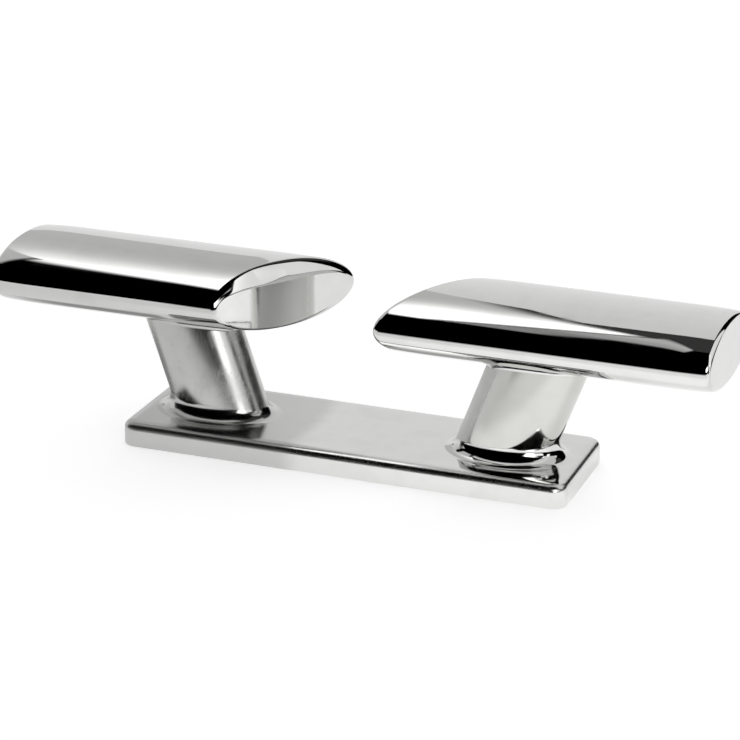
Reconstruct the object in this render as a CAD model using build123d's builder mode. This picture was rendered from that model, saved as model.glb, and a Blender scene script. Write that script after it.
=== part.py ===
"""Twin-horn mooring cleat in polished stainless steel.

A flat base plate carries two oval stanchions that lean outwards, and each stanchion
carries one oval horn. A concave fillet weld runs round every foot and a small one
round every head. The cleat bolts down from below, through tapped holes that pass
up the plate into the stanchions, so no fastener shows on top.

The left half is modelled, and the right half is the same half turned by 180 degrees
about the upright axis. X runs along the cleat, Z is up, and the origin is on the
deck, at the centre of the plate's underside.
"""

from build123d import *
from math import radians, tan
import os

os.makedirs("parts", exist_ok=True)

# Driving dimensions, in millimetres and degrees.
overall_length = 300.0      # along the cleat's centre line

plate_length = 189.0
plate_width = 60.0
plate_thickness = 10.0
plate_corner_radius = 6.5
plate_edge_radius = 2.4

horn_width = 61.2
horn_height = 28.6
horn_axis_height = 63.8
horn_gap = 64.4             # between the two inner ends, along the centre line
inner_cut_angle = 33.0      # turns the inner ends, so that the gap is a slanting slot
outer_cut_angle = 2.7
inner_rim_radius = 3.0
outer_rim_radius = 1.8

stanchion_width = 38.8      # along the cleat, square to the stanchion's own axis
stanchion_thickness = 28.6
stanchion_spacing = 121.2   # between the two axes, on top of the plate
stanchion_lean = 19.75      # outwards from upright

foot_weld_radius = 6.0
head_weld_radius = 2.4

bolt_spacing = 120.0
tapped_hole_radius = 5.1    # tapping size for M12
tapped_hole_depth = 26.0    # up from the plate's underside
tapped_hole_lead_in = 1.0   # chamfer at the mouth
drill_point_angle = 118.0

foot = Vector(-stanchion_spacing / 2, 0, plate_thickness)
horn_inner = Vector(-horn_gap / 2, 0, horn_axis_height)
horn_outer = Vector(-overall_length / 2, 0, horn_axis_height)

# Planes that the bars are drawn on and cut with.
along = Vector(1, 0, 0)
upright = Vector(0, 0, 1)
horn_section = Plane(horn_outer - along * horn_width, x_dir=(0, 1, 0), z_dir=along)
inner_cut = Plane(horn_inner, z_dir=along.rotate(Axis.Z, -inner_cut_angle))
outer_cut = Plane(horn_outer, z_dir=along.rotate(Axis.Z, -outer_cut_angle))
stanchion_section = Plane(
    foot,
    x_dir=along.rotate(Axis.Y, -stanchion_lean),
    z_dir=upright.rotate(Axis.Y, -stanchion_lean),
)

# Tapped hole, as the drill and the lead-in chamfer leave it.
with BuildPart() as tapped_hole:
    with BuildSketch(Plane.XZ):
        with BuildLine():
            point_length = tapped_hole_radius / tan(radians(drill_point_angle / 2))
            Polyline(
                (0, 0),
                (tapped_hole_radius + tapped_hole_lead_in, 0),
                (tapped_hole_radius, tapped_hole_lead_in),
                (tapped_hole_radius, tapped_hole_depth),
                (0, tapped_hole_depth + point_length),
                close=True,
            )
        make_face()
    revolve(axis=Axis.Z)

# Base plate: flat bar with rounded corners and a rounded top edge.
with BuildPart() as base_plate:
    with BuildSketch():
        RectangleRounded(plate_length, plate_width, plate_corner_radius)
    extrude(amount=plate_thickness)
    fillet(base_plate.faces().sort_by(Axis.Z)[-1].edges(), plate_edge_radius)
    with GridLocations(bolt_spacing, 0, 2, 1):
        add(tapped_hole, mode=Mode.SUBTRACT)

# Horn: an oval bar along X, cut at both ends, with polished-over rims.
with BuildPart() as horn:
    with BuildSketch(horn_section):
        Ellipse(horn_width / 2, horn_height / 2)
    extrude(amount=overall_length / 2 + horn_width)
    split(bisect_by=inner_cut, keep=Keep.BOTTOM)
    split(bisect_by=outer_cut, keep=Keep.TOP)
    fillet(horn.faces().filter_by(inner_cut).edges(), inner_rim_radius)
    fillet(horn.faces().filter_by(outer_cut).edges(), outer_rim_radius)

# Bar that the stanchion is cut from, long enough to reach into plate and horn.
with BuildPart() as bar:
    with BuildSketch(stanchion_section):
        Ellipse(stanchion_width / 2, stanchion_thickness / 2)
    extrude(amount=horn_axis_height - plate_thickness)
    extrude(bar.faces().sort_by(Axis.Z)[0], amount=stanchion_width / 2)

# Stanchion: the bar cut level at the foot, coped to the horn and drilled for its bolt.
with BuildPart() as stanchion:
    add(bar)
    split(bisect_by=Plane.XY.offset(plate_thickness), keep=Keep.TOP)
    add(horn, mode=Mode.SUBTRACT)
    with Locations((-bolt_spacing / 2, 0)):
        add(tapped_hole, mode=Mode.SUBTRACT)

# Foot weld: what a concave fillet adds in the corner between the plate and the bar.
with BuildPart() as foot_weld:
    with BuildSketch(Plane.XY.offset(plate_thickness)):
        Rectangle(plate_length, plate_width)
    extrude(amount=-stanchion_width)
    footing = foot_weld.part
    add(bar)
    toe = new_edges(footing, bar.part, combined=foot_weld.part)
    fillet(toe, foot_weld_radius)
    add(footing, mode=Mode.SUBTRACT)
    add(bar, mode=Mode.SUBTRACT)

# Head weld: the same, smaller, between the bar and the underside of the horn.
with BuildPart() as head_weld:
    add(horn)
    add(bar)
    toe = new_edges(horn.part, bar.part, combined=head_weld.part)
    fillet(toe, head_weld_radius)
    add(horn, mode=Mode.SUBTRACT)
    add(bar, mode=Mode.SUBTRACT)

# Write the plate, then the left half and the same half turned round for the right.
base_plate.part.label = "base_plate"
export_step(base_plate.part, "parts/base_plate.step")

half = {"stanchion": stanchion, "horn": horn, "foot_weld": foot_weld, "head_weld": head_weld}
for side, turn in (("left", 0), ("right", 180)):
    for piece, blank in half.items():
        with BuildPart() as finished:
            add(blank, rotation=(0, 0, turn))
        finished.part.label = f"{piece}_{side}"
        export_step(finished.part, f"parts/{finished.part.label}.step")
        print(finished.part.label, round(finished.part.volume), "mm3")
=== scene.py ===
"""Looks of a twin-horn mooring cleat in polished stainless steel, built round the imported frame.

The sections follow the cleat as it is welded up: base plate, stanchions, foot welds, horns and
head welds. The studio comes last.
"""

from math import cos, pi, radians, sin, sqrt

import bmesh
import bpy
from mathutils import Matrix, Vector


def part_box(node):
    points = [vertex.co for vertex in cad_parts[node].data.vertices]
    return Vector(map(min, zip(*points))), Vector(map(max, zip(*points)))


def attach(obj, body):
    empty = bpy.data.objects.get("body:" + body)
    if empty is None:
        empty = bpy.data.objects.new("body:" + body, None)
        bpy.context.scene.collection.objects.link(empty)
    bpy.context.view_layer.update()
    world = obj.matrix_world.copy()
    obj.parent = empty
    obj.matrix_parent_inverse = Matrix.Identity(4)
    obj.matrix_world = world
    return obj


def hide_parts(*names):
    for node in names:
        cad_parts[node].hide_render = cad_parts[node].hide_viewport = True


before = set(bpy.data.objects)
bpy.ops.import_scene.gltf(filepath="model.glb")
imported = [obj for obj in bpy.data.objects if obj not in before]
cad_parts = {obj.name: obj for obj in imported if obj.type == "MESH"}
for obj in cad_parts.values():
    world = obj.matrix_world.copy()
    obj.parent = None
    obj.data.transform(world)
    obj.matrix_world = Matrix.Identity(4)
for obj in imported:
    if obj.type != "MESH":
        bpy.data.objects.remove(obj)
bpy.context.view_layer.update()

# ---------------------------------------------------------------------------------------------
# Base plate: a piece of polished stainless flat bar with rounded corners. Two M12 holes are
# tapped up through it, and the deck bolts come in from below, so nothing shows on top.
# ---------------------------------------------------------------------------------------------
plate_low, plate_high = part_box("base_plate")
plate_size = plate_high - plate_low
plate_top = plate_high.z
plate_corner_radius = 0.0065
plate_corner_steps = 16
plate_burr = 0.0003  # taken off round the underside
bolt_spacing = 0.120
tapping_radius = 0.0051
tapping_steps = 48

# The top edge is rounded along one curve. It starts plate_edge_height down the side and ends
# plate_edge_width in on the flat. Its handles stop at plate_edge_drop below the sharp corner
# and at plate_edge_hold in from it, so the flat falls away slowly.
plate_edge_height = 0.0050
plate_edge_drop = 0.0010
plate_edge_hold = 0.0008
plate_edge_width = 0.0055
plate_edge_steps = 24
crease_angle = radians(50)  # where a surface turns by more than this, its edge stays crisp

# Sizes of the marks that a buff leaves, and the roughness of the places that it did less well and
# of the matt, near-white painted highlight.
wave_size = 0.022
patch_size = 0.012
hairline_size = 0.0006
matt_roughness = 0.35
dim_roughness = 0.09
edge_roughness = 0.17

STEEL = (0.70, 0.70, 0.692, 1.0)
# Near-white colour of a painted highlight on the right stanchion's inner side, standing for the
# white table's bright reflection.
PAINTED_SHEEN_WHITE = (0.95, 0.95, 0.93, 1.0)


class Wire:
    """A shader socket that takes part in ordinary arithmetic."""

    def __init__(self, tree, socket):
        self.tree = tree
        self.socket = socket

    def node(self, kind, settings=None, sockets=None, output=0):
        """Adds any other node: its settings first, then values or wires for its sockets."""
        added = self.tree.nodes.new(kind)
        for name, value in (settings or {}).items():
            if name == "stops":
                ramp = added.color_ramp.elements
                while len(ramp) < len(value):
                    ramp.new(1.0)
                for element, (place, shade) in zip(ramp, value):
                    element.position = place
                    element.color = (shade, shade, shade, 1.0)
            else:
                setattr(added, name, value)
        for name, value in (sockets or {}).items():
            if isinstance(value, Wire):
                self.tree.links.new(value.socket, added.inputs[name])
            else:
                added.inputs[name].default_value = value
        return Wire(self.tree, added.outputs[output] if added.outputs else None)

    def maths(self, operation, first, second=0.0):
        return self.node("ShaderNodeMath", {"operation": operation}, {0: first, 1: second})

    def __add__(self, other):
        return self.maths("ADD", self, other)

    def __radd__(self, other):
        return self.maths("ADD", other, self)

    def __sub__(self, other):
        return self.maths("SUBTRACT", self, other)

    def __rsub__(self, other):
        return self.maths("SUBTRACT", other, self)

    def __mul__(self, other):
        return self.maths("MULTIPLY", self, other)

    def __rmul__(self, other):
        return self.maths("MULTIPLY", other, self)

    def between(self, low, high):
        """0 below low, 1 above high, smooth between."""
        return self.node(
            "ShaderNodeMapRange",
            {"interpolation_type": "SMOOTHSTEP"},
            {"Value": self, "From Min": low, "From Max": high},
        )

    def turning(self, colour, other):
        """A colour that turns into the other as this wire goes from 0 to 1."""
        sockets = {0: self, 6: colour, 7: other}
        return self.node("ShaderNodeMix", {"data_type": "RGBA"}, sockets, output=2)

    def grain(self, size, stretch=(1, 1, 1), turn=(0, 0, 0), detail=2.0):
        """Noise from 0 to 1 on a place wire, with features of this size in metres."""
        sockets = {"Vector": self, "Rotation": turn, "Scale": stretch}
        place = self.node("ShaderNodeMapping", {}, sockets)
        sockets = {"Vector": place, "Scale": 1 / size, "Detail": detail}
        return self.node("ShaderNodeTexNoise", {}, sockets)

    def along(self, axes):
        """A place wire's distances along these axes, such as "xz", as one wire each."""
        apart = self.node("ShaderNodeSeparateXYZ", {}, {"Vector": self}).socket.node
        return [Wire(self.tree, apart.outputs[axis.upper()]) for axis in axes]


def blank_material(name):
    """A material with nothing in it yet, and the place wire that its pattern starts from."""
    material = bpy.data.materials.new(name)
    material.use_nodes = True
    material.node_tree.nodes.clear()
    start = Wire(material.node_tree, None)
    return material, start.node("ShaderNodeTexCoord", output="Object")


def shaded(colour, share):
    """The same colour at this share of its brightness."""
    return tuple(share * part for part in colour[:3]) + (1.0,)


def steel(
    name,
    colour,
    gloss,
    haze,
    stretch,
    turn=(0, 0, 0),
    wave=4.5e-5,
    lines=1.2e-6,
    painted_sheen=None,
    dim=None,
    rubbed=None,
):
    """Stainless steel, polished by hand with a buff that ran along one direction.

    The buff leaves long shallow waves, hairlines along its run and patches of haze. stretch
    and turn lay them along the run, and wave and lines are their depths. gloss is the least
    roughness, and haze is what the patches add to it. The last three arguments each say, from
    0 to 1 over the places of a piece, where the steel is made matt and painted near white, a
    painted highlight that stands for the white table's bright reflection; where it is darker
    and less polished; and where the buff turned over an edge.
    """
    material, place = blank_material(name)
    waves = place.grain(wave_size, stretch, turn, detail=1.0)
    patches = place.grain(patch_size, turn=turn, detail=3.0)
    fine_stretch = tuple(min(part, 1) for part in stretch)
    hairlines = place.grain(hairline_size, fine_stretch, turn, detail=3.0)
    cloud = patches.between(0.42, 0.72)
    tint = (0.6 * cloud).turning(colour, shaded(colour, 0.93))
    roughness = gloss + haze * cloud + 0.6 * haze * hairlines.between(0.45, 0.75)
    metallic = 1.0
    # A painted highlight: where this mask is 1, the steel turns matt and near white, standing for
    # the white table's bright reflection.
    if painted_sheen:
        matt_sheen_part = painted_sheen(place)
        tint = matt_sheen_part.turning(tint, PAINTED_SHEEN_WHITE)
        roughness = roughness + matt_roughness * matt_sheen_part
        metallic = 1 - 0.9 * matt_sheen_part
    if dim:
        dimmed = dim(place)
        tint = dimmed.turning(tint, shaded(colour, 0.80))
        roughness = roughness + dim_roughness * dimmed
    if rubbed:
        roughness = roughness + edge_roughness * rubbed(place)
    bumps = place.node("ShaderNodeBump", {}, {"Distance": wave, "Height": waves})
    sockets = {"Distance": lines, "Height": hairlines, "Normal": bumps}
    bumps = place.node("ShaderNodeBump", {}, sockets)
    shader = place.node(
        "ShaderNodeBsdfPrincipled",
        {},
        {"Base Color": tint, "Metallic": metallic, "Roughness": roughness, "Normal": bumps},
    )
    place.node("ShaderNodeOutputMaterial", {}, {"Surface": shader})
    return material


def object_from(mesh, name, material):
    """Puts a bmesh into the scene as an object of this material."""
    data = bpy.data.meshes.new(name)
    mesh.to_mesh(data)
    mesh.free()
    data.materials.append(material)
    made = bpy.data.objects.new(name, data)
    bpy.context.scene.collection.objects.link(made)
    return made


def piece_from(mesh, name, material, node):
    """Turns a closed bmesh into a smooth piece that stands for one CAD node."""
    bmesh.ops.recalc_face_normals(mesh, faces=mesh.faces)
    for face in mesh.faces:
        face.smooth = True
    piece = object_from(mesh, name, material)
    piece.data.set_sharp_from_angle(angle=crease_angle)
    normals = piece.modifiers.new("flats_stay_flat", "WEIGHTED_NORMAL")
    normals.keep_sharp = True
    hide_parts(node)
    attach(piece, "root")


def loft(mesh, rings):
    """Walls through rings of points. Gives the edges round the first ring and the last."""
    bmesh.ops.create_circle(mesh, segments=len(rings[0]), radius=1, cap_ends=False)
    place = mesh.verts.layers.int.new("place")
    for index, corner in enumerate(mesh.verts[:]):
        corner[place] = index
        corner.co = rings[0][index]
    first = last = mesh.edges[:]
    for ring in rings[1:]:
        grown = bmesh.ops.extrude_edge_only(mesh, edges=last)["geom"]
        corners = {v for v in grown if isinstance(v, bmesh.types.BMVert)}
        edges = [e for e in grown if isinstance(e, bmesh.types.BMEdge)]
        last = [e for e in edges if set(e.verts) <= corners]
        for corner in corners:
            corner.co = ring[corner[place]]
    return first, last


def plate_ring(inset, height):
    """The plate's outline at one height, drawn in from its full size."""
    ring = []
    for corner in range(4):
        for step in range(plate_corner_steps + 1):
            angle = radians(90) * (corner + step / plate_corner_steps)
            reach = Vector((cos(angle), sin(angle))) * (plate_corner_radius - inset)
            middle = Vector((1 if corner in (0, 3) else -1, 1 if corner < 2 else -1))
            across = middle.x * (plate_size.x / 2 - plate_corner_radius) + reach.x
            back = middle.y * (plate_size.y / 2 - plate_corner_radius) + reach.y
            ring.append(Vector((across, back, height)))
    return ring


def base_plate():
    """Sides and rounded edges as one loft, then both flats, each with the mouths of the holes."""
    rings = [plate_ring(plate_burr * (1 - t), plate_burr * t) for t in (0.0, 0.5, 1.0)]
    for step in range(plate_edge_steps + 1):
        t = step / plate_edge_steps
        inset = 3 * (1 - t) * t * t * plate_edge_hold + t**3 * plate_edge_width
        depth = (1 - t) ** 3 * plate_edge_height + 3 * (1 - t) ** 2 * t * plate_edge_drop
        rings.append(plate_ring(inset, plate_size.z - depth))
    mesh = bmesh.new()
    lower, upper = loft(mesh, rings)
    for side in (-1, 1):
        mouths = []
        for height in (0.0, plate_size.z):
            circle = bmesh.ops.create_circle(
                mesh,
                segments=tapping_steps,
                radius=tapping_radius,
                matrix=Matrix.Translation((side * bolt_spacing / 2, 0, height)),
            )["verts"]
            mouths.append([e for e in mesh.edges if set(e.verts) <= set(circle)])
        bmesh.ops.bridge_loops(mesh, edges=mouths[0] + mouths[1])
        lower = lower + mouths[0]
        upper = upper + mouths[1]
    for flat in (lower, upper):
        bmesh.ops.triangle_fill(mesh, edges=flat, use_beauty=True)
    return mesh


# The hazy part of the plate begins to clear at the first of these places along it, and is
# clear at the second. The border wanders by haze_sway.
haze_clears = -0.019
haze_gone = -0.009
haze_sway = 0.012
haze_sway_size = 0.020


def hazy_part(place):
    """The left part of the plate, darker and less polished, to a little short of its middle."""
    (across,) = place.along("x")
    sway = haze_sway * place.grain(haze_sway_size)
    return 1 - (across + sway).between(haze_clears, haze_gone)


# How far in from the plate's sides and down from its top the softer shine starts, and is full.
rub_start = Vector((0.0033, 0.0033, 0.0034))
rub_full = Vector((0.0023, 0.0023, 0.0022))


def rounded_edge(place):
    """The plate's rounded top edge, where the buff turned over and left a softer shine."""
    across, back, up = place.along("xyz")
    start = plate_size / 2 - rub_start
    full = plate_size / 2 - rub_full
    off_ends = 1 - (across * across).between(start.x**2, full.x**2)
    off_sides = 1 - (back * back).between(start.y**2, full.y**2)
    high_up = up.between(plate_top - rub_start.z, plate_top - rub_full.z)
    return (1 - off_ends * off_sides) * high_up


plate_steel = steel(
    "polished_plate",
    STEEL,
    gloss=0.075,
    haze=0.035,
    stretch=(0.35, 1, 1),
    wave=3.5e-5,
    dim=hazy_part,
    rubbed=rounded_edge,
)
piece_from(base_plate(), "plate", plate_steel, "base_plate")

# ---------------------------------------------------------------------------------------------
# Stanchions: two lengths of oval bar, cut level at the foot and coped to the horn at the
# head. They lean outwards, and the right one is the left one turned round.
# ---------------------------------------------------------------------------------------------
horn_low, horn_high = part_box("horn_left")
horn_half_width = (horn_high.y - horn_low.y) / 2
horn_half_height = (horn_high.z - horn_low.z) / 2
horn_axis_height = (horn_high.z + horn_low.z) / 2
stanchion_width = 0.0388
stanchion_thickness = 0.0286
stanchion_spacing = 0.1212
stanchion_facets = 160
stanchion_lean = radians(19.75)
stanchion_axis = Vector((-sin(stanchion_lean), 0, cos(stanchion_lean)))
foot_centre = Vector((-stanchion_spacing / 2, 0, plate_top))
# Where the painted highlight on the right stanchion's inner side starts, and where it is full.
sheen_from = 0.0112  # inwards from the stanchion's axis
sheen_full = 0.0144
HALF_TURN = Matrix.Rotation(pi, 4, "Z")
DULL_STEEL = (0.56, 0.56, 0.55, 1.0)
WARM_STEEL = (0.60, 0.60, 0.575, 1.0)


def slid_to_plate(point):
    """Where the stanchion's wall through this point meets the plate."""
    return point + stanchion_axis * ((plate_top - point.z) / stanchion_axis.z)


def slid_to_horn(point):
    """Where the stanchion's wall through this point meets the underside of the horn."""
    flat = Vector((point.y / horn_half_width, (point.z - horn_axis_height) / horn_half_height))
    run = Vector((stanchion_axis.y / horn_half_width, stanchion_axis.z / horn_half_height))
    middle = flat.dot(run) / run.length_squared
    reach = sqrt(middle * middle - (flat.length_squared - 1) / run.length_squared)
    return point + stanchion_axis * (-middle - reach)


def stanchion_ring():
    """Places round the oval bar, square to its axis, each with the wall's outward direction."""
    lean = Matrix.Translation(foot_centre) @ Matrix.Rotation(-stanchion_lean, 4, "Y")
    ring = []
    for index in range(stanchion_facets):
        angle = 2 * pi * index / stanchion_facets
        spot = Vector((stanchion_width / 2 * cos(angle), stanchion_thickness / 2 * sin(angle), 0))
        out = Vector((spot.x / stanchion_width**2, spot.y / stanchion_thickness**2, 0))
        ring.append((lean @ spot, (lean.to_3x3() @ out).normalized()))
    return ring


def lofted(rings, closed):
    """A mesh through rings of points, either capped at both ends or joined end to end."""
    mesh = bmesh.new()
    first, last = loft(mesh, rings)
    if closed:
        bmesh.ops.bridge_loops(mesh, edges=first + last)
    else:
        for loop in (first, last):
            bmesh.ops.contextual_create(mesh, geom=loop)
    return mesh


def turned(mesh, side):
    """The same mesh on the left, or turned half round for the right."""
    if side == "right":
        bmesh.ops.transform(mesh, matrix=HALF_TURN, verts=mesh.verts)
    return mesh


def inner_side_sheen(place):
    """The right stanchion's inner side, made matt and painted near white: a painted highlight
    that stands for the white table's bright reflection.
    """
    across, height = place.along("xz")
    inwards = -foot_centre.x * cos(stanchion_lean) - plate_top * sin(stanchion_lean)
    inwards = inwards - across * cos(stanchion_lean) + height * sin(stanchion_lean)
    return inwards.between(sheen_from, sheen_full)


satin_steel = {
    "left": steel(
        "satin_left",
        DULL_STEEL,
        gloss=0.20,
        haze=0.09,
        stretch=(1, 1, 0.06),
        turn=(0, -stanchion_lean, 0),
        wave=1.0e-4,
        lines=2e-6,
    ),
    "right": steel(
        "satin_right",
        WARM_STEEL,
        gloss=0.05,
        haze=0.04,
        stretch=(1, 1, 0.10),
        turn=(0, stanchion_lean, 0),
        wave=4e-5,
        lines=1.5e-6,
        # a painted highlight on the inner side, standing for the table's bright reflection
        painted_sheen=inner_side_sheen,
    ),
}
for side in ("left", "right"):
    foot = [slid_to_plate(spot) for spot, out in stanchion_ring()]
    head = [slid_to_horn(spot) for spot, out in stanchion_ring()]
    piece_from(
        turned(lofted([foot, head], closed=False), side),
        f"bar_{side}",
        satin_steel[side],
        f"stanchion_{side}",
    )

# ---------------------------------------------------------------------------------------------
# Foot welds: a bead of filler in the corner between each stanchion and the plate, ground and
# polished to a hollow fillet.
# ---------------------------------------------------------------------------------------------
foot_weld_radius = 0.0060
fillet_steps = 16
UP = Vector((0, 0, 1))


def bead(corners, radius):
    """Rings of a hollow fillet. Each corner is a point, the wall's direction and the seat's."""
    rings = [[] for level in range(fillet_steps + 2)]
    for corner, wall, seat in corners:
        centre = corner + (wall + seat) * (radius / (1 + wall.dot(seat)))
        rings[0].append(corner)
        for step in range(fillet_steps + 1):
            out = wall.slerp(seat, step / fillet_steps)
            rings[step + 1].append(centre - out * radius)
    return rings


weld_steel = steel(
    "polished_weld",
    STEEL,
    gloss=0.05,
    haze=0.05,
    stretch=(1, 1, 1),
    wave=6e-5,
    dim=hazy_part,
)
for side in ("left", "right"):
    corners = [(slid_to_plate(spot), out, UP) for spot, out in stanchion_ring()]
    piece_from(
        turned(lofted(bead(corners, foot_weld_radius), closed=True), side),
        f"foot_bead_{side}",
        weld_steel,
        f"foot_weld_{side}",
    )

# ---------------------------------------------------------------------------------------------
# Horns: oval bar, sawn at a slant on the inside so that a line drops into the slot between
# them, nearly square on the outside, and buffed until the ends fall away a little. The buff
# has rounded the upper side of the inner end most.
# ---------------------------------------------------------------------------------------------
horn_gap = 0.0644
overall_length = 0.300
inner_cut = radians(33.0)
outer_cut = radians(2.7)
around_horn = 288
horn_axis = Vector((0, 0, horn_axis_height))

# A rim is ground over each end. Angles round the oval start at its back tip and pass its top.
# The inner rim is widest at rim_place, and more again at the back tip. It has a broad facet
# round facet_place. Its curve is full where it nears the sharp corner, and flat in the facet
# and along the front.
outer_rim = 0.0020
inner_rim = 0.0030
rim_place = radians(50)
rim_sway = 0.7
tip_rim = 0.0008
tip_sharpness = 4
facet_width = 0.0036
facet_place = radians(100)
facet_sharpness = 3
crest_start = 0.4
rim_fullness = 0.6
facet_fullness = 0.12
crest_fullness = 0.22
rim_steps = 20

# The buff takes this much off the bar at each end, and less and less over its length.
buffed_length = 0.022
buffed_inner = 0.0005
buffed_outer = 0.0009
buffed_steps = 14


def horn_side(spot):
    """Outward direction of the horn's surface at a spot on it, as measured from its axis."""
    return Vector((0, spot.y / horn_half_width**2, spot.z / horn_half_height**2)).normalized()


def eased(corner, start, finish, fullness, t):
    """A point on the curve that leaves start and reaches finish heading for and from a corner."""
    first = start.lerp(corner, fullness[0])
    second = finish.lerp(corner, fullness[1])
    low, high = start.lerp(first, t), second.lerp(finish, t)
    middle = first.lerp(second, t)
    return low.lerp(middle, t).lerp(middle.lerp(high, t), t)


def inner_rim_at(angle):
    """How far the inner rim runs in over the end and out along the bar, and how full it is."""
    reach = inner_rim * (1 + rim_sway * cos(angle - rim_place))
    reach = reach + tip_rim * max(0.0, cos(angle)) ** tip_sharpness
    facet = max(0.0, cos(angle - facet_place)) ** facet_sharpness
    crest = min(1.0, max(0.0, -cos(angle) / crest_start))
    fullness = (
        rim_fullness + (facet_fullness - rim_fullness) * facet,
        rim_fullness + (crest_fullness - rim_fullness) * crest,
    )
    return reach + facet_width * facet, reach, fullness


def outer_rim_at(angle):
    """The same for the outer rim, which is even all round."""
    return outer_rim, outer_rim, (rim_fullness, rim_fullness)


def horn_rings():
    """Rings from the inner end's flat, over its rim, along the bar and over the outer rim."""
    inner_end = Vector((-horn_gap / 2, 0, horn_axis_height))
    outer_end = Vector((-overall_length / 2, 0, horn_axis_height))
    halves = []
    for end, turn, rim_at, buffed_away, way in (
        (inner_end, inner_cut, inner_rim_at, buffed_inner, 1),
        (outer_end, outer_cut, outer_rim_at, buffed_outer, -1),
    ):
        face = Vector((cos(turn), -sin(turn), 0)) * way
        along = Vector((-way, 0, 0))
        rings = [[] for level in range(rim_steps + buffed_steps + 1)]
        for index in range(around_horn):
            angle = 2 * pi * index / around_horn
            spot = Vector((0, horn_half_width * cos(angle), horn_half_height * sin(angle)))
            wall = horn_side(spot)
            sideways = (end - horn_axis).dot(face) - spot.dot(face)
            corner = horn_axis + spot + Vector((sideways / face.x, 0, 0))
            inward = (face * wall.dot(face) - wall).normalized()
            reach_in, reach_out, fullness = rim_at(angle)
            start = corner + inward * reach_in
            finish = corner + along * reach_out
            for step in range(rim_steps + 1):
                rings[step].append(eased(corner, start, finish, fullness, step / rim_steps))
            for step in range(1, buffed_steps + 1):
                further = along * (buffed_length * step / buffed_steps)
                rings[rim_steps + step].append(finish + further)
        for ring in rings:
            for index, point in enumerate(ring):
                depth = abs((point - end).dot(face))
                fall = buffed_away * max(0.0, 1 - depth / buffed_length) ** 3
                spot = point - horn_axis
                spot.x = 0
                ring[index] = point - spot.normalized() * fall
        halves.append(rings)
    return halves[0] + halves[1][::-1]


horn_steel = steel(
    "polished_horn",
    STEEL,
    gloss=0.03,
    haze=0.03,
    stretch=(0.3, 1, 1),
    wave=3e-5,
)
for side in ("left", "right"):
    piece_from(
        turned(lofted(horn_rings(), closed=False), side),
        f"oval_{side}",
        horn_steel,
        f"horn_{side}",
    )

# ---------------------------------------------------------------------------------------------
# Head welds: a smaller bead of the same filler between each stanchion's coped head and its
# horn, polished to the same hollow fillet.
# ---------------------------------------------------------------------------------------------
head_weld_radius = 0.0024

for side in ("left", "right"):
    corners = []
    for spot, out in stanchion_ring():
        corner = slid_to_horn(spot)
        corners.append((corner, out, horn_side(corner - horn_axis)))
    piece_from(
        turned(lofted(bead(corners, head_weld_radius), closed=True), side),
        f"head_bead_{side}",
        weld_steel,
        f"head_weld_{side}",
    )

# ---------------------------------------------------------------------------------------------
# Studio: a white table, one large softbox high on the left and a second low on the right,
# dimmer screens and walls round them, and darkness in front, which is what gives polished
# steel its black bands.
# ---------------------------------------------------------------------------------------------


def card(name, corner, across, up, shine):
    """A flat sheet of light, which the camera doesn't see and which casts no shadow.

    It spans across and up from its corner. shine(place) gives its brightness, by metres
    along those two.
    """
    mesh = bmesh.new()
    bmesh.ops.create_grid(mesh, x_segments=1, y_segments=1, size=0.5)
    bmesh.ops.translate(mesh, vec=(0.5, 0.5, 0), verts=mesh.verts)
    bmesh.ops.scale(mesh, vec=(across.length, up.length, 1), verts=mesh.verts)
    material, place = blank_material(name)
    glow = place.node("ShaderNodeEmission", {}, {"Strength": shine(place)})
    place.node("ShaderNodeOutputMaterial", {}, {"Surface": glow})
    sheet = object_from(mesh, name, material)
    right, top = across.normalized(), up.normalized()
    turn = Matrix((right, top, right.cross(top))).transposed().to_4x4()
    sheet.matrix_world = Matrix.Translation(corner) @ turn
    sheet.visible_camera = False
    sheet.visible_shadow = False


# The softbox hangs high on the left, behind the cleat. It fades towards its rear, along lines
# that slant over it. fade_start is measured fade_hinge in from its right side.
softbox_width = 1.144
softbox_depth = 2.06
softbox_level = 2.0
edge_blur = 0.09
softbox_corner = Vector((-0.431, 0.566, 2.522))
softbox_rear = Vector((-0.02, 0.50, -0.87)).normalized()
softbox_right = Vector((0.10, 0.86, 0.49)).normalized()
fade_slant = 0.75
fade_hinge = 0.30
fade_start = 0.475
fade = [
    (0.00, 1.00),
    (0.12, 0.80),
    (0.225, 0.65),
    (0.325, 0.555),
    (0.425, 0.47),
    (0.525, 0.39),
    (0.625, 0.345),
    (0.725, 0.315),
    (0.90, 0.292),
]


def softbox_shine(place):
    across, rear = place.along("xy")
    faded = rear + fade_slant * (across - softbox_width - edge_blur + fade_hinge)
    glow = place.node("ShaderNodeValToRGB", {"stops": fade}, {"Fac": faded - fade_start})
    left_side = across.between(0, 2 * edge_blur)
    right_side = 1 - across.between(softbox_width, softbox_width + 2 * edge_blur)
    return glow * softbox_level * left_side * right_side * rear.between(0.0, 0.15)


card(
    "softbox",
    corner=softbox_corner - softbox_right * (softbox_width + edge_blur),
    across=softbox_right * (softbox_width + 2 * edge_blur),
    up=softbox_rear * softbox_depth,
    shine=softbox_shine,
)


# A dimmer screen carries on forwards from the softbox, and another from its left side. Both
# lie in the softbox's plane, so their places are measured from the same corner.
front_screen_width = 1.40
front_screen_depth = 1.85
front_screen_reach = 1.80
left_screen_width = 0.40
left_screen_depth = 0.80
left_screen_reach = 1.50
left_screen_start = 1.18


def front_screen_shine(place):
    across, rear = place.along("xy")
    level = 0.30 * rear.between(1.30, 1.50)
    level = level + (0.43 - level) * across.between(0.50, 0.72)
    level = level + 0.14 * across.between(0.75, 1.10)
    sides = across.between(0.0, 0.15) * (1 - across.between(1.15, 1.40))
    return level * sides * rear.between(0.0, 0.3)


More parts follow.
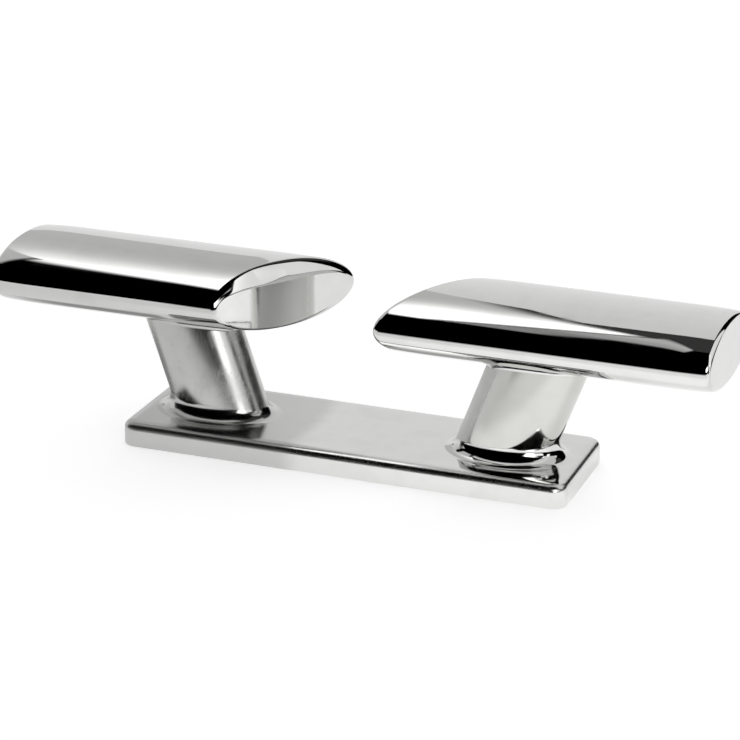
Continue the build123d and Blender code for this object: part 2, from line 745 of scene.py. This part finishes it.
card(
    "front_screen",
    corner=softbox_corner - softbox_right * softbox_width - softbox_rear * front_screen_reach,
    across=softbox_right * front_screen_width,
    up=softbox_rear * front_screen_depth,
    shine=front_screen_shine,
)


def left_screen_shine(place):
    (rear,) = place.along("y")
    return (0.60 + 0.25 * rear.between(0.1, 1.2)) * rear.between(0.0, 0.08)


card(
    "left_screen",
    corner=softbox_corner - softbox_right * left_screen_reach + softbox_rear * left_screen_start,
    across=softbox_right * left_screen_width,
    up=softbox_rear * left_screen_depth,
    shine=left_screen_shine,
)


# Two walls stand behind and on the left. The one behind ends a little way right of the cleat,
# and the ceiling is nearly dark.
def wall_shine(place):
    (height,) = place.along("y")
    return 0.87 - 0.09 * height.between(0.1, 1.8)


def ceiling_shine(place):
    (across,) = place.along("x")
    return 0.045 * across.between(0.0, 1.1)


card(
    "back_wall",
    corner=Vector((-3.0, 1.2, 0.0)),
    across=Vector((3.38, 0, 0)),
    up=Vector((0, 0, 2.43)),
    shine=wall_shine,
)
card(
    "left_wall",
    corner=Vector((-2.0, 0.0, 0.0)),
    across=Vector((0, 1.2, 0)),
    up=Vector((0, 0, 1.2)),
    shine=wall_shine,
)
card(
    "ceiling",
    corner=Vector((-2.5, -0.28, 4.6)),
    across=Vector((7, 0, 0)),
    up=Vector((0, 5.6, 0)),
    shine=ceiling_shine,
)


# A small white reflector hangs close to the right horn's end, to light the left one's rim. A
# narrow tongue of it hangs lower, and lights the plate as the left horn's end sees it.
def reflector_shine(place):
    across, height = place.along("xy")
    upper = height.between(0.030, 0.038)
    tongue = across.between(0.026, 0.032) * (1 - across.between(0.050, 0.056))
    level = 1.40 - 0.45 * upper * across.between(0.0, 0.05)
    return level * (upper + (1 - upper) * tongue)


card(
    "reflector",
    corner=Vector((0.21, -0.058, 0.045)),
    across=Vector((0, 0.138, 0)),
    up=Vector((0, 0, 0.224)),
    shine=reflector_shine,
)


# The second softbox leans over from the right, next to the camera, and is brightest on the
# camera's side. Its top edge slants, and a dim gap crosses its right half.
def side_shine(place):
    across, up = place.along("xy")
    level = 3.4 - 2.1 * across.between(0.28, 0.36)
    sides = across.between(0.0, 0.05) * (1 - across.between(0.72, 0.82))
    below_top = 1 - (up - 0.32 * across).between(0.36, 0.44)
    gap = up.between(0.28, 0.40) * (1 - up.between(0.54, 0.66)) * across.between(0.32, 0.50)
    return level * sides * below_top * (1 - gap)


card(
    "side_softbox",
    corner=Vector((0.567, -0.943, 0.0)),
    across=Vector((0.433, 0.643, 0.27)),
    up=Vector((-0.164, 0.72, 0.77)),
    shine=side_shine,
)


def rays(wire, *kinds):
    """Wires that are 1 for these kinds of ray and 0 for all others."""
    path = wire.node("ShaderNodeLightPath").socket.node
    return [Wire(wire.tree, path.outputs[f"Is {kind} Ray"]) for kind in kinds]


# The table is a white sheet: it shows white and keeps the cleat's soft shadow.
PAPER_WHITE = (0.8, 0.8, 0.8, 1.0)
camera_glow = 0.60  # what it needs, over the light that falls on it, to show white
table_width = 6.0
table_depth = 1.53
table_back = 1.2
paper, place = blank_material("table")
across, back = place.along("xy")
camera_ray, glossy_ray = rays(place, "Camera", "Glossy")

# The steel sees the sheet end in front, along a line that runs further out on the left.
left_reach = 0.6 * (1 - (across + 0.55).between(0.0, 0.5))
in_sight = (back + left_reach).between(-0.25, -0.15)

# The steel sees it dimmer under the left horn's outer end, where a painted shadow of the horn
# lies,
painted_horn_shadow = across.between(-0.190, -0.150) * (1 - across.between(-0.108, -0.100))
painted_horn_shadow = painted_horn_shadow * back.between(-0.012, 0.004) * (1 - back.between(0.035, 0.050))
unseen = glossy_ray * (1 - in_sight * (1 - 0.6 * painted_horn_shadow))

# and brighter, with painted light, on the right and close in front of the plate.
painted_glow_in_front = back.between(-0.11, -0.07) * (1 - back.between(-0.03, 0.0))
painted_glow_in_front = painted_glow_in_front * across.between(-0.16, -0.06)
sheen = 0.36 + 0.20 * across.between(-0.1, 0.08) + 0.24 * painted_glow_in_front

strength = camera_glow * camera_ray + sheen * glossy_ray
glow = place.node("ShaderNodeEmission", {}, {"Strength": strength})
white = place.node("ShaderNodeBsdfDiffuse", {}, {"Color": PAPER_WHITE})
both = place.node("ShaderNodeAddShader", {}, {0: glow, 1: white})
nothing = place.node("ShaderNodeEmission", {}, {"Strength": 0.0})
sheet = place.node("ShaderNodeMixShader", {}, {0: unseen, 1: both, 2: nothing})
place.node("ShaderNodeOutputMaterial", {}, {"Surface": sheet})

mesh = bmesh.new()
bmesh.ops.create_grid(mesh, x_segments=1, y_segments=1, size=0.5)
bmesh.ops.scale(mesh, vec=(table_width, table_depth, 1), verts=mesh.verts)
bmesh.ops.translate(mesh, vec=(0, table_back - table_depth / 2, 0), verts=mesh.verts)
table = object_from(mesh, "table", paper)

# The air round it is white to the camera, and sheds a little light of its own.
world = bpy.data.worlds.new("studio")
bpy.context.scene.world = world
world.use_nodes = True
world.node_tree.nodes.clear()
empty = Wire(world.node_tree, None)
camera_ray, diffuse_ray = rays(empty, "Camera", "Diffuse")
strength = camera_ray + 0.5 * diffuse_ray
air = empty.node("ShaderNodeBackground", {}, {"Color": (1, 1, 1, 1), "Strength": strength})
empty.node("ShaderNodeOutputWorld", {}, {"Surface": air})

# Camera: a long lens a metre away, to the right of the cleat's front, looking down at it.
camera_azimuth = radians(19.4245)
camera_elevation = radians(19.9362)
camera_roll = radians(0.985)
camera_distance = 1.0860
camera_aim = Vector((0.003198, 0.03354))
sensor_width = 36.0
focal_length = 128.95

toward = Vector(
    (
        sin(camera_azimuth) * cos(camera_elevation),
        -cos(camera_azimuth) * cos(camera_elevation),
        sin(camera_elevation),
    )
)
right = Vector((cos(camera_azimuth), sin(camera_azimuth), 0))
above = toward.cross(right)
viewpoint = toward * camera_distance + right * camera_aim.x + above * camera_aim.y
turn = Matrix((right, above, toward)).transposed().to_4x4()
lens = bpy.data.cameras.new("camera")
lens.sensor_width = sensor_width
lens.lens = focal_length
camera = bpy.data.objects.new("camera", lens)
roll = Matrix.Rotation(camera_roll, 4, "Z")
camera.matrix_world = Matrix.Translation(viewpoint) @ turn @ roll
bpy.context.scene.collection.objects.link(camera)
bpy.context.scene.camera = camera
bpy.context.scene.view_settings.view_transform = "Standard"
